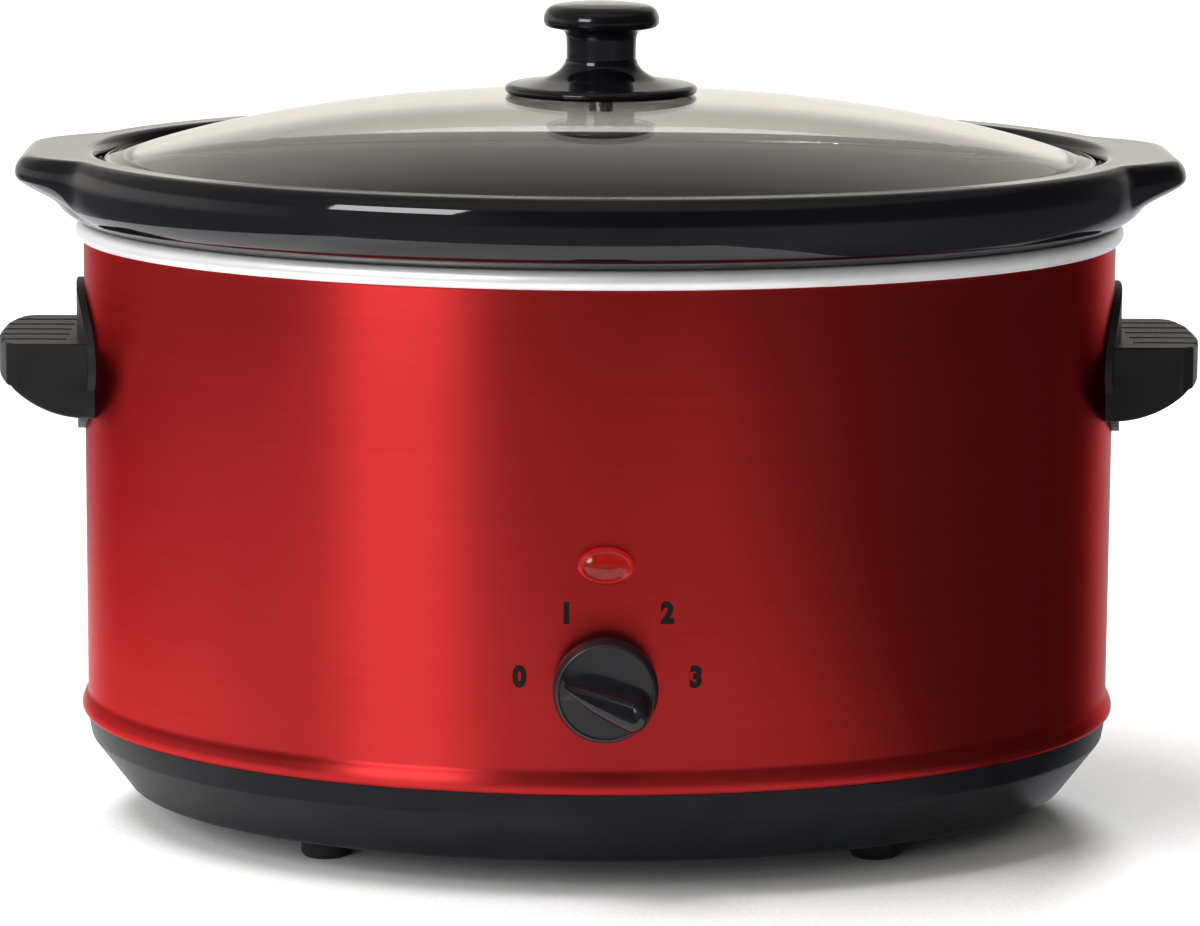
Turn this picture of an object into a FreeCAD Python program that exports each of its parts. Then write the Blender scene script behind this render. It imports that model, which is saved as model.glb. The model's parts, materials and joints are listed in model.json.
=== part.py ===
import FreeCAD
import Part
import math
import os

from FreeCAD import Vector

# Oval electric slow cooker. Millimetres, +Z up, front towards -Y.
# The origin is on the resting surface, under the centre of the oval housing.
# Ovals are ellipses whose two half axes are the housing wall's, both plus one offset.

# ---- driving dimensions ----
HALF_X = 192.0            # housing wall, outer half length
HALF_Y = 147.0            # housing wall, outer half depth
SKIN = 0.8                # steel wrap
FIT = 0.05                # radial clearance of a part in its own hole
WRAP_Z = (38.4, 217.0)    # bottom and top edge of the wrap
RIM_TOP = 224.0           # top of the liner's rolled rim, which the crock rests on
LINER_WALL = -24.0        # offset of the liner's outer wall
LINER_SHEET = 1.0
LINER_FLOOR = 48.0        # underside of the liner's floor
CROCK_FOOT = 61.0         # underside of the crock
CROCK_TOP = 249.5
LEDGE = 241.3             # ledge inside the crock's rim, which the lid rests on
RECESS = -5.5             # offset of the step round the lid
LID_EDGE = -7.2           # offset of the lid's edge
LID_TOP = 270.5
CROWN = 2.35              # power of the dome's drop from its centre to its edge
GLASS = 4.0
KNOB_Z = 77.0             # control knob's axis
LENS_Z = 120.5
BASE_BOTTOM = 9.0
BASE_FLOOR = 12.0         # upper side of the base pan's floor
COVER_HOLE = -62.0        # offset of the opening in the base pan's floor
COVER_EDGE = -56.0        # offset of the bottom cover's edge
COVER_SHEET = 1.2
FOOT_X = 100.0
FOOT_Y = 80.0
FOOT_R = 9.0
HANDLE_Z = 172.4          # centre of the handle's flange
HANDLE_TIP = 223.5        # outermost X of the grip, on its centre line
HANDLE_HALF = 37.5        # half width of the grip
HANDLE_TOP = 181.0
HANDLE_WALL = 3.5
HANDLE_CORNER = 3.0       # chamfer at the grip's outer corners
HANDLE_ROUND = 1.0        # rounding of the handle's edges
HANDLE_SCREW_Y = 29.0
HANDLE_GROOVES = (-25.0, -12.5, 0.0, 12.5, 25.0)
FLANGE_HALF_Y = 39.5
FLANGE_HALF_Z = 28.0
FLANGE_THICK = (0.1, 2.8) # offsets of the flange's inner and outer face
GLAND_Z = 24.0
GLAND_BORE = 3.7
GLAND_FACE = 147.8        # flat rear face of the boss that holds the gland
GLAND_THREAD = 7.0        # radius of the gland's body
BAND_Z = (80.0, 140.0)
CLAMP_Z = (100.0, 112.0)
CLAMP_SCREW_Y = 130.0
FUSE_X = -12.0
FUSE_Y = 125.2
CASE_Y = (-144.5, -128.5) # front and back of the switch case
CASE_HALF = 13.0          # half height of the switch case
SHAFT_R = 3.0
BUSH_R = 5.0
KNOB_R = 18.5
KNOB_Y = (-148.5, -157.0) # back and front face of the control knob's disc
WING_Y = -167.0           # front of the control knob's wing
TIE_R = 2.5
COVER_SCREW_R = 1.5
FOOT_STEM = 4.0
BLOCK_SCREW_X = (37.0, 45.0, 53.0)
BLOCK_Y = 101.0
LID_HOLE = 3.2
LID_SCREW_R = 2.0
KNOB_SEAT = 282.8         # joint between the lid knob's foot and its cap
TAB_TIP = 215.6           # outermost X of the crock's end tabs
TAB_SHOULDER = (198.0, 47.0)
TAB_ROOT = (170.0, 54.0)
TAB_HALF_TIP = 20.0       # half width of the tab's straight outer edge


# ---- helpers ----
def oval_wire(offset, z):
    ellipse = Part.Ellipse(Vector(0, 0, z), HALF_X + offset, HALF_Y + offset)
    return Part.Wire([ellipse.toShape()])


def oval_solid(sections):
    """Ruled solid through ovals given as (offset, z), from the bottom up."""
    wires = [oval_wire(offset, z) for offset, z in sections]
    return Part.makeLoft(wires, True, True)


def oval_ring(outer_offset, inner_offset, z0, z1):
    outer = oval_solid([(outer_offset, z0), (outer_offset, z1)])
    return outer.cut(oval_solid([(inner_offset, z0 - 1), (inner_offset, z1 + 1)]))


def wall_y(offset, x):
    """Y of the oval with that offset at the given x, on the rear side."""
    return (HALF_Y + offset) * math.sqrt(1 - (x / (HALF_X + offset)) ** 2)


def box(x0, x1, y0, y1, z0, z1):
    return Part.makeBox(x1 - x0, y1 - y0, z1 - z0, Vector(x0, y0, z0))


def rod_x(radius, x0, x1, y, z):
    return Part.makeCylinder(radius, x1 - x0, Vector(x0, y, z), Vector(1, 0, 0))


def rod_y(radius, y0, y1, x, z):
    return Part.makeCylinder(radius, y1 - y0, Vector(x, y0, z), Vector(0, 1, 0))


def rod_z(radius, z0, z1, x=0.0, y=0.0):
    return Part.makeCylinder(radius, z1 - z0, Vector(x, y, z0))


def hex_z(across_flats, z0, z1):
    radius = across_flats / math.sqrt(3)
    turns = [math.pi * k / 3 for k in range(7)]
    corners = [Vector(radius * math.cos(turn), radius * math.sin(turn), z0) for turn in turns]
    return Part.Face(Part.makePolygon(corners)).extrude(Vector(0, 0, z1 - z0))


def hex_y(across_flats, y0, y1, x, z):
    nut = hex_z(across_flats, 0, y1 - y0)
    nut.rotate(Vector(0, 0, 0), Vector(1, 0, 0), -90)
    nut.translate(Vector(x, y0, z))
    return nut


def turned(profile):
    """Solid of revolution about Z from (radius, z) corners."""
    corners = [Vector(radius, 0, z) for radius, z in profile]
    face = Part.Face(Part.makePolygon(corners + [corners[0]]))
    return face.revolve(Vector(0, 0, 0), Vector(0, 0, 1), 360)


def fuse(shapes):
    return shapes[0].multiFuse(shapes[1:]).removeSplitter() if len(shapes) > 1 else shapes[0]


def tube(points, radius):
    """Round lead along a route whose corners are tangent arcs."""
    route = [Vector(*point) for point in points]
    edges = []
    start = route[0]
    for before, corner, after in zip(route, route[1:], route[2:]):
        run_in = (before - corner).normalize()
        run_out = (after - corner).normalize()
        half_turn = (math.pi - run_in.getAngle(run_out)) / 2
        reach = 0.45 * min(corner.distanceToPoint(before), corner.distanceToPoint(after))
        bend = reach / math.tan(half_turn)
        first = corner + run_in * reach
        last = corner + run_out * reach
        bisector = (run_in + run_out).normalize()
        middle = corner + bisector * (bend / math.cos(half_turn) - bend)
        edges.append(Part.LineSegment(start, first).toShape())
        edges.append(Part.Arc(first, middle, last).toShape())
        start = last
    edges.append(Part.LineSegment(start, route[-1]).toShape())
    path = Part.Wire(edges)
    section = Part.Wire([Part.Circle(route[0], route[1] - route[0], radius).toShape()])
    return path.makePipeShell([section], True, False)


def edges_where(shape, wanted):
    """Edges whose middle point passes the test."""
    found = []
    for edge in shape.Edges:
        first, last = edge.ParameterRange
        if wanted(edge.valueAt((first + last) / 2)):
            found.append(edge)
    return found


def save(name, shape):
    if isinstance(shape, list):
        shape = Part.makeCompound(shape)
    shape.exportStep("parts/" + name + ".step")


# ---- housing ----
def housing_wrap():
    bead = [(0.6, 38.4), (2.0, 39.8), (2.3, 42.0), (1.2, 45.0), (0.0, 46.5)]
    top = WRAP_Z[1]
    outer = oval_solid(bead + [(0.0, top)])
    inner_bead = [(offset - SKIN, z) for offset, z in bead]
    inner = oval_solid([(inner_bead[0][0], bead[0][1] - 1)] + inner_bead[1:] + [(-SKIN, top + 1)])
    holes = [rod_y(BUSH_R + 0.1, -160, -130, 0, KNOB_Z), lens_prism(8.2, 4.95, -160, -130)]
    holes += [rod_x(2.2, -210, 210, y, HANDLE_Z) for y in (-HANDLE_SCREW_Y, HANDLE_SCREW_Y)]
    return outer.cut(inner).cut(Part.makeCompound(holes))


def liner_pot():
    wall = LINER_WALL
    sheet = LINER_SHEET
    corner = [(-38.0, LINER_FLOOR), (-30.0, 50.5), (-25.5, 55.0), (wall, 62.0)]
    pot = oval_solid(corner + [(wall, RIM_TOP)])
    rim = oval_solid([(1.2, WRAP_Z[1]), (2.8, 219.2), (2.5, 222.0), (0.6, RIM_TOP)])
    groove = oval_ring(-1.8, wall, WRAP_Z[1] - 1, RIM_TOP - 1.2)
    well = [(offset - sheet, z + sheet) for offset, z in corner]
    well = oval_solid(well + [(wall - sheet, RIM_TOP + 1)])
    return fuse([pot, rim]).cut(groove).cut(well)


def base_pan():
    outer = oval_solid([(-20.0, BASE_BOTTOM), (-16.0, 10.0), (-1.0, 30.3), (0.3, WRAP_Z[0])])
    inner = oval_solid([(-19.5, BASE_FLOOR), (-4.0, 31.5), (-2.7, WRAP_Z[0] + 1)])
    boss = box(-14, 14, 131, GLAND_FACE, GLAND_Z - 12, GLAND_Z + 12)
    boss_hollow = box(-11, 11, 100, GLAND_FACE - 4, GLAND_Z - 10.5, GLAND_Z + 9.5)
    cuts = [
        oval_solid([(COVER_HOLE, 0), (COVER_HOLE, 20)]),
        oval_solid([(COVER_EDGE + 0.3, 0), (COVER_EDGE + 0.3, BASE_BOTTOM + COVER_SHEET)]),
        rod_y(GLAND_THREAD + FIT, 130, 150, 0, GLAND_Z),
    ]
    cuts += [rod_z(FOOT_STEM + FIT, 0, 20, x, y) for x, y in foot_places().values()]
    cuts += [rod_z(COVER_SCREW_R + FIT, 0, 20, x, y) for x, y in cover_screw_places()]
    shell = fuse([outer.cut(inner), boss])
    return shell.cut(boss_hollow).cut(Part.makeCompound(cuts))


def foot_places():
    columns = {"left": -FOOT_X, "right": FOOT_X}
    rows = {"rear": FOOT_Y, "front": -FOOT_Y}
    return {row + "_" + column: (x, y) for column, x in columns.items() for row, y in rows.items()}


def foot(x, y):
    profile = [
        (0, 0), (FOOT_R - 1, 0), (FOOT_R, 1.2), (FOOT_R, BASE_BOTTOM), (FOOT_STEM, BASE_BOTTOM),
        (FOOT_STEM, BASE_FLOOR), (FOOT_STEM + 1.2, BASE_FLOOR), (FOOT_STEM, BASE_FLOOR + 2.5),
        (0, BASE_FLOOR + 2.5),
    ]
    solid = turned(profile)
    solid.translate(Vector(x, y, 0))
    return solid


def cover_screw_places():
    half_x = HALF_X + (COVER_HOLE + COVER_EDGE) / 2
    half_y = HALF_Y + (COVER_HOLE + COVER_EDGE) / 2
    angles = [math.radians(45 + 90 * k) for k in range(4)]
    return [(half_x * math.cos(a), half_y * math.sin(a)) for a in angles]


def bottom_cover():
    plate = oval_solid([(COVER_EDGE, BASE_BOTTOM), (COVER_EDGE, BASE_BOTTOM + COVER_SHEET)])
    slots = [box(x - 2, x + 2, y - 14, y + 14, 0, 20) for x in range(-60, 61, 12) for y in (-28, 28)]
    slots.append(rod_z(TIE_R + FIT, 0, 20))
    slots += [rod_z(COVER_SCREW_R + FIT, 0, 20, x, y) for x, y in cover_screw_places()]
    return plate.cut(Part.makeCompound(slots))


def cover_screw(x, y):
    shank = rod_z(COVER_SCREW_R, BASE_BOTTOM, BASE_FLOOR + 2, x, y)
    head = rod_z(2.8, BASE_BOTTOM - 1.8, BASE_BOTTOM, x, y)
    return fuse([shank, head])


# ---- tie stud and heat shield ----
def tie_stud():
    return rod_z(TIE_R, 3.0, LINER_FLOOR)


def tie_washer():
    return rod_z(7.0, BASE_BOTTOM - 1, BASE_BOTTOM).cut(rod_z(TIE_R + FIT, 0, 20))


def tie_nut():
    return hex_z(8.0, BASE_BOTTOM - 5, BASE_BOTTOM - 1).cut(rod_z(TIE_R + FIT, 0, 20))


def heat_shield():
    plate = oval_solid([(-44.0, 41.4), (-44.0, 42.2)])
    return plate.cut(rod_z(TIE_R + FIT, 30, 60))


def shield_sleeve():
    return rod_z(4.5, 42.2, LINER_FLOOR).cut(rod_z(TIE_R + FIT, 30, 60))


def shield_nut():
    return hex_z(8.0, 37.4, 41.4).cut(rod_z(TIE_R + FIT, 30, 60))


# ---- heating band ----
def heating_band():
    band = oval_ring(LINER_WALL + 1.6, LINER_WALL + 0.05, *BAND_Z)
    return band.cut(box(-8, 8, 60, 160, 70, 150))


def band_tab(x):
    y = wall_y(LINER_WALL + 0.8, x)
    return box(x - 2.5, x + 2.5, y - 0.4, y + 2.2, BAND_Z[0] - 8, BAND_Z[0])


def band_clamp():
    low, high = CLAMP_Z
    ring = oval_ring(LINER_WALL + 2.4, LINER_WALL + 1.65, low, high)
    ring = ring.cut(box(-4, 4, 60, 160, low - 1, high + 1))
    ears = [box(x, x + 1.2, 125.1, 134, low, high) for x in (-5.2, 4.0)]
    clamp = fuse([ring] + ears)
    return clamp.cut(rod_x(1.5 + FIT, -10, 10, CLAMP_SCREW_Y, (low + high) / 2))


def clamp_screw():
    z = sum(CLAMP_Z) / 2
    shank = rod_x(1.5, -9, 9, CLAMP_SCREW_Y, z)
    head = rod_x(3.0, -7.4, -5.2, CLAMP_SCREW_Y, z)
    nut = rod_x(3.0, 5.2, 7.6, CLAMP_SCREW_Y, z)
    return fuse([shank, head, nut])


def thermal_fuse():
    return fuse([rod_z(2.2, 54, 70, FUSE_X, FUSE_Y), rod_z(0.6, 70, BAND_Z[0] - 8, FUSE_X, FUSE_Y)])


def fuse_clip():
    block = box(FUSE_X - 4.5, FUSE_X + 4.5, 122.9, 129.4, 63, 68)
    return block.cut(rod_z(2.2 + FIT, 50, 80, FUSE_X, FUSE_Y))


# ---- switch and control knob ----
def rotary_switch():
    front, back = CASE_Y
    wall = 2.0
    case = box(-14, 14, front, back, KNOB_Z - CASE_HALF, KNOB_Z + CASE_HALF)
    hollow = box(-12, 12, front + wall, back - 1.5, KNOB_Z - CASE_HALF + wall, KNOB_Z + CASE_HALF - wall)
    bush = rod_y(BUSH_R, -151, front, 0, KNOB_Z)
    bore = rod_y(SHAFT_R + 0.06, -152, front + 3, 0, KNOB_Z)
    return fuse([case.cut(hollow), bush]).cut(bore)


def switch_nut():
    return hex_y(13.0, -149.8, -147.1, 0, KNOB_Z).cut(rod_y(BUSH_R + FIT, -152, -140, 0, KNOB_Z))


def switch_tabs():
    top = KNOB_Z - CASE_HALF
    return [box(x - 2, x + 2, -137.4, -136.6, top - 7, top) for x in (-9, -3, 3, 9)]


def switch_shaft():
    shaft = rod_y(SHAFT_R, -155, -131, 0, KNOB_Z)
    return shaft.cut(box(-4, 4, -156, -151.5, KNOB_Z + 2.2, KNOB_Z + 4))


def switch_rotor():
    rotor = rod_y(9.8, -141.6, -135.6, 0, KNOB_Z).cut(rod_y(SHAFT_R + FIT, -150, -130, 0, KNOB_Z))
    notches = []
    for k in range(4):
        angle = math.radians(-90 + 50 * k)
        notches.append(rod_y(1.4, -143, -134, 10.2 * math.cos(angle), KNOB_Z + 10.2 * math.sin(angle)))
    return rotor.cut(Part.makeCompound(notches))


def detent_spring():
    return box(-9, 9, -141, -136.2, KNOB_Z - 10.9, KNOB_Z - 10.4)


def wing_outline(y, shrink):
    """Teardrop outline of the knob's wing, drawn in towards its ridge by the given share."""
    outline = [
        (-15.2, 5.6), (-13.6, 1.4), (-7.1, -5.0), (-0.8, -9.2), (5.5, -12.4), (9.6, -13.4),
        (13.4, -11.0), (15.2, -6.4), (14.6, -2.0), (10.6, 1.8), (4.4, 4.6), (-2.6, 6.4), (-9.6, 7.0),
    ]
    ridge_start = Vector(-14.2, 0, 4.8)
    ridge_end = Vector(9.0, 0, -4.2)
    ridge = ridge_end - ridge_start
    points = []
    for x, z in outline:
        point = Vector(x, 0, z)
        along = max(0.0, min(1.0, (point - ridge_start).dot(ridge) / ridge.dot(ridge)))
        nearest = ridge_start + ridge * along
        inner = point + (nearest - point) * shrink
        points.append(Vector(inner.x, y, KNOB_Z + inner.z))
    curve = Part.BSplineCurve()
    curve.interpolate(points, PeriodicFlag=True)
    return Part.Wire([curve.toShape()])


def control_knob():
    back, face = KNOB_Y
    bevel_depth = 3.5
    shoulder = face + bevel_depth
    disc = rod_y(KNOB_R, shoulder, back, 0, KNOB_Z)
    bevel = Part.makeCone(KNOB_R, KNOB_R - 1.6, bevel_depth, Vector(0, shoulder, KNOB_Z), Vector(0, -1, 0))
    levels = [(face + 1, 0.0), (face - 6, 0.45), (WING_Y, 0.8)]
    wing = Part.makeLoft([wing_outline(y, shrink) for y, shrink in levels], True, True)
    body = fuse([disc, bevel, wing])
    hollow = rod_y(KNOB_R - 3, shoulder - 0.3, back + 0.5, 0, KNOB_Z)
    hub = rod_y(5.6, shoulder - 1, back - 2.9, 0, KNOB_Z)
    body = fuse([body.cut(hollow), hub])
    return body.cut(rod_y(SHAFT_R + FIT, -155.2, -140, 0, KNOB_Z))


# ---- indicator lamp ----
def lens_prism(half_x, half_z, y0, y1):
    ellipse = Part.Ellipse(Vector(0, 0, 0), half_x, half_z)
    face = Part.Face(Part.Wire([ellipse.toShape()]))
    prism = face.extrude(Vector(0, 0, y1 - y0))
    prism.rotate(Vector(0, 0, 0), Vector(1, 0, 0), -90)
    prism.translate(Vector(0, y0, LENS_Z))
    return prism


def indicator_lens():
    flange = lens_prism(10.0, 6.7, -149.0, -147.1)
    crown = lens_prism(8.8, 5.5, -149.9, -149.0)
    body = lens_prism(8.0, 4.75, -147.1, -140.0)
    return fuse([flange, crown, body])


def lens_clip():
    return lens_prism(11.0, 7.6, -145.6, -144.8).cut(lens_prism(8.0 + FIT, 4.75 + FIT, -150, -140))


def neon_lamp():
    return rod_x(2.6, -7, 7, -136.5, LENS_Z)


# ---- supply ----
def terminal_block():
    block = box(30, 60, 94, 108, BASE_FLOOR, 24)
    return block.cut(Part.makeCompound([rod_z(1.5 + FIT, 18, 30, x, BLOCK_Y) for x in BLOCK_SCREW_X]))


def terminal_screw(x):
    return fuse([rod_z(1.5, 18.2, 24, x, BLOCK_Y), rod_z(2.6, 24, 25.6, x, BLOCK_Y)])


def internal_leads():
    tab_bottom = KNOB_Z - CASE_HALF - 7
    to_switch = [(37, 94, 18), (37, 70, 18), (37, -92, 21), (3, -137, 40), (3, -137, tab_bottom)]
    to_fuse = [
        (-3, -137, tab_bottom), (-3, -137, 40), (-38, -92, 21), (-38, 82, 22), (FUSE_X, FUSE_Y, 34),
        (FUSE_X, FUSE_Y, 54),
    ]
    to_band = [(50, 108, 18), (50, 121, 18), (28, 128, 46), (12, 124.8, 58), (12, 124.8, BAND_Z[0] - 8)]
    leads = [tube(route, 1.2) for route in (to_switch, to_fuse, to_band)]
    for side in (-1, 1):
        to_lamp = [
            (side * 7, -136.5, LENS_Z), (side * 19, -136.5, LENS_Z), (side * 19, -136.5, 58),
            (side * 15, -137, 46), (side * 9, -137, 46), (side * 9, -137, tab_bottom),
        ]
        leads.append(tube(to_lamp, 0.8))
    return leads


def cord_gland():
    flange = rod_y(11.0, GLAND_FACE, GLAND_FACE + 3, 0, GLAND_Z)
    body = rod_y(GLAND_THREAD, GLAND_FACE - 12, GLAND_FACE + 10, 0, GLAND_Z)
    return fuse([flange, body]).cut(rod_y(GLAND_BORE, 130, 170, 0, GLAND_Z))


def gland_lock_nut():
    nut = hex_y(18.0, GLAND_FACE - 7, GLAND_FACE - 4, 0, GLAND_Z)
    return nut.cut(rod_y(GLAND_THREAD + FIT, 130, 160, 0, GLAND_Z))


def gland_dome_nut():
    shoulder = GLAND_FACE + 11
    barrel = rod_y(9.5, GLAND_FACE + 3.2, shoulder, 0, GLAND_Z)
    dome = Part.makeCone(9.5, 6.5, 4.5, Vector(0, shoulder, GLAND_Z), Vector(0, 1, 0))
    thread = rod_y(GLAND_THREAD + FIT, 140, GLAND_FACE + 10.2, 0, GLAND_Z)
    mouth = rod_y(4.4, 150, 170, 0, GLAND_Z)
    return fuse([barrel, dome]).cut(thread).cut(mouth)


# ---- side handles ----
def grip_plan(inset, z0, z1):
    """Grip seen from above: straight sides and a gently curved outer end."""
    half = HANDLE_HALF - inset
    tip = HANDLE_TIP - inset
    end = tip - 6.2 * (half / HANDLE_HALF) ** 2
    root = 150.0 if inset == 0 else 196.5
    a = Vector(root, -half, z0)
    b = Vector(end, -half, z0)
    c = Vector(end, half, z0)
    d = Vector(root, half, z0)
    edges = [
        Part.LineSegment(a, b).toShape(),
        Part.Arc(b, Vector(tip, 0, z0), c).toShape(),
        Part.LineSegment(c, d).toShape(),
        Part.LineSegment(d, a).toShape(),
    ]
    return Part.Face(Part.Wire(edges)).extrude(Vector(0, 0, z1 - z0))


def grip_side():
    """Grip seen from the front: flat top and an underside that curves up to the tip."""
    side = -60.0
    heel = Vector(150, side, HANDLE_TOP - 27.7)
    heel_end = Vector(190, side, HANDLE_TOP - 27.7)
    belly = Vector(206, side, HANDLE_TOP - 23.7)
    toe = Vector(216.5, side, HANDLE_TOP - 16.0)
    nose_low = Vector(HANDLE_TIP + 0.5, side, HANDLE_TOP - 14.0)
    nose_high = Vector(HANDLE_TIP + 0.5, side, HANDLE_TOP - 1.6)
    brow = Vector(HANDLE_TIP - 2.0, side, HANDLE_TOP)
    back = Vector(150, side, HANDLE_TOP)
    edges = [Part.LineSegment(heel, heel_end).toShape(), Part.Arc(heel_end, belly, toe).toShape()]
    corners = [toe, nose_low, nose_high, brow, back, heel]
    edges += [Part.LineSegment(a, b).toShape() for a, b in zip(corners, corners[1:])]
    return Part.Face(Part.Wire(edges)).extrude(Vector(0, -2 * side, 0))


def grip_block():
    """Outer shape of the grip, with chamfered outer corners and rounded edges."""
    grip = grip_plan(0, 150, 185).common(grip_side())
    upright = edges_where(grip, lambda m: m.x > 217 and abs(m.y) > HANDLE_HALF - 0.1 and m.z > 170)
    grip = grip.makeChamfer(HANDLE_CORNER, upright)
    return grip.makeFillet(HANDLE_ROUND, edges_where(grip, lambda m: m.x > 165))


def handle_flange():
    """Oval plate that follows the housing wall."""
    inner, outer = FLANGE_THICK
    outline = Part.Ellipse(Vector(0, 0, 0), FLANGE_HALF_Y, FLANGE_HALF_Z)
    flange = Part.Face(Part.Wire([outline.toShape()])).extrude(Vector(0, 0, 60))
    flange.rotate(Vector(0, 0, 0), Vector(0, 0, 1), 90)
    flange.rotate(Vector(0, 0, 0), Vector(0, 1, 0), 90)
    flange.translate(Vector(150, 0, HANDLE_Z))
    return flange.common(oval_ring(outer, inner, 140, 205))


def handle_right():
    grip = grip_block()
    grip = grip.cut(grip_plan(HANDLE_WALL, 140, HANDLE_TOP - 4))
    grip = grip.cut(oval_solid([(FLANGE_THICK[0], 140), (FLANGE_THICK[0], 205)]))
    for y in HANDLE_GROOVES:
        grip = grip.cut(box(197, 230, y - 1.4, y + 1.4, HANDLE_TOP - 1.4, HANDLE_TOP + 1))
    flange = handle_flange()
    bosses = []
    for y in (-HANDLE_SCREW_Y, HANDLE_SCREW_Y):
        pilot = rod_x(2.0 + FIT, 170, 198.5, y, HANDLE_Z)
        grip = grip.cut(pilot)
        flange = flange.cut(pilot)
        bosses.append(rod_x(4.2, 193, 200, y, HANDLE_Z).cut(pilot))
    return fuse([grip, flange] + bosses)


def handle_backing_right():
    plate = oval_ring(-SKIN - 0.1, -SKIN - 1.3, 164, 181).common(box(150, 200, -36, 36, 160, 185))
    holes = [rod_x(2.0 + FIT, 170, 200, y, HANDLE_Z) for y in (-HANDLE_SCREW_Y, HANDLE_SCREW_Y)]
    return plate.cut(Part.makeCompound(holes))


def handle_screw(y):
    return fuse([rod_x(3.6, 182.2, 184.8, y, HANDLE_Z), rod_x(2.0, 184.8, 198, y, HANDLE_Z)])


def mirrored(shape):
    return shape.mirror(Vector(0, 0, 0), Vector(1, 0, 0))


# ---- crock ----
def tab_wire(inset, z, side):
    """End tab seen from above: sloping flanks, rounded shoulders and a straight outer edge."""
    tip = TAB_TIP - inset
    shoulder = (TAB_SHOULDER[0] - inset * 0.6, TAB_SHOULDER[1] - inset)
    bulge = (tip - 4.6, 37.0 - inset)
    near_tip = (tip, TAB_HALF_TIP - inset * 0.5)
    root = (TAB_ROOT[0], TAB_ROOT[1] - inset)

    def point(place, flank):
        return Vector(side * place[0], flank * place[1], z)

    edges = [Part.LineSegment(point(near_tip, -1), point(near_tip, 1)).toShape()]
    for flank in (1, -1):
        edges.append(Part.Arc(point(near_tip, flank), point(bulge, flank), point(shoulder, flank)).toShape())
        edges.append(Part.LineSegment(point(shoulder, flank), point(root, flank)).toShape())
    edges.append(Part.LineSegment(point(root, 1), point(root, -1)).toShape())
    return Part.Wire(Part.__sortEdges__(edges))


def crock_tab(side):
    levels = [(13.0, 233.0), (1.5, 240.0), (0.0, 243.0), (0.0, 247.0), (1.5, CROCK_TOP - 0.2)]
    return Part.makeLoft([tab_wire(inset, z, side) for inset, z in levels], True, True)


def crock():
    body = oval_solid([
        (-52.0, CROCK_FOOT), (-45.0, 63.5), (-39.0, 72.0), (-34.0, 110.0), (-30.0, 180.0),
        (-29.0, RIM_TOP + 2),
    ])
    rim = oval_solid([
        (2.0, RIM_TOP), (7.5, 227.5), (10.8, 233.6), (11.0, 240.0), (10.6, 246.0), (9.2, 248.8),
        (7.0, CROCK_TOP),
    ])
    cavity = oval_solid([
        (-58.0, 69.0), (-50.0, 72.0), (-45.0, 82.0), (-41.0, 120.0), (-37.0, 190.0), (-35.0, 224.0),
        (-29.0, 235.0), (-21.0, LEDGE), (-21.0, LEDGE + 2),
    ])
    recess = oval_solid([(RECESS, LEDGE), (RECESS + 0.6, 247.6), (RECESS + 2.4, CROCK_TOP + 0.1)])
    return fuse([body, rim, crock_tab(-1), crock_tab(1)]).cut(cavity).cut(recess)


# ---- lid ----
def dome_sections(top, drop, half_x, half_y, shares):
    wires = []
    flat = shares[-1]
    for share in shares:
        z = top - drop * (share ** CROWN - flat ** CROWN) / (1 - flat ** CROWN)
        ellipse = Part.Ellipse(Vector(0, 0, z), half_x * share, half_y * share)
        wires.append(Part.Wire([ellipse.toShape()]))
    return wires


def lid_glass():
    edge_z = 245.6
    half_x = HALF_X + LID_EDGE
    half_y = HALF_Y + LID_EDGE
    shares = [0.985, 0.93, 0.86, 0.76, 0.64, 0.5, 0.34, 0.12]
    edge_corners = [(LID_EDGE - 1.6, LEDGE), (LID_EDGE, LEDGE + 1.6), (LID_EDGE, edge_z - 1.4)]
    outer = [oval_wire(offset, z) for offset, z in edge_corners]
    outer += dome_sections(LID_TOP, LID_TOP - edge_z, half_x, half_y, shares)
    inner = [oval_wire(LID_EDGE - 8.0, LEDGE - 1)]
    inner += dome_sections(LID_TOP - GLASS, LID_TOP - edge_z, half_x, half_y, [0.94] + shares[2:])
    glass = Part.makeLoft(outer, True, True).cut(Part.makeLoft(inner, True, True))
    return glass.cut(rod_z(LID_HOLE, 240, 290))


def lid_knob_base():
    profile = [
        (LID_HOLE, 271.3), (20, 271.3), (30, 270.4), (34.8, 270.2), (35.7, 271.4), (35.5, 272.8),
        (34.4, 273.8), (28, 274.8), (20, 276.2), (16, 278.2), (14.2, 280.4), (13.4, KNOB_SEAT),
        (LID_HOLE, KNOB_SEAT),
    ]
    return turned(profile)


def lid_knob():
    profile = [
        (0, KNOB_SEAT), (12.9, KNOB_SEAT), (12.9, 289.5), (13.8, 292.4), (16.4, 294.4), (19.8, 294.9),
        (21.2, 296.0), (21.6, 298.2), (21.2, 300.8), (19.6, 302.6), (15.0, 303.6), (8.0, 304.1),
        (0, 304.2),
    ]
    return turned(profile).cut(rod_z(LID_SCREW_R + FIT, 280, 296))


def lid_gasket():
    return rod_z(12.0, LID_TOP, 271.3).cut(rod_z(LID_HOLE, 260, 290))


def lid_washer():
    return rod_z(8.0, LID_TOP - GLASS - 1.0, LID_TOP - GLASS).cut(rod_z(LID_SCREW_R + FIT, 260, 290))


def lid_screw():
    head_top = LID_TOP - GLASS - 1.0
    return fuse([rod_z(LID_SCREW_R, head_top, 294), rod_z(4.5, head_top - 2.6, head_top)])


# ---- write every node ----
os.makedirs("parts", exist_ok=True)

save("housing_wrap", housing_wrap())
save("liner_pot", liner_pot())
save("base_pan", base_pan())
save("bottom_cover", bottom_cover())
save("cover_screws", [cover_screw(x, y) for x, y in cover_screw_places()])
for place_name, (foot_x, foot_y) in foot_places().items():
    save("foot_" + place_name, foot(foot_x, foot_y))

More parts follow.
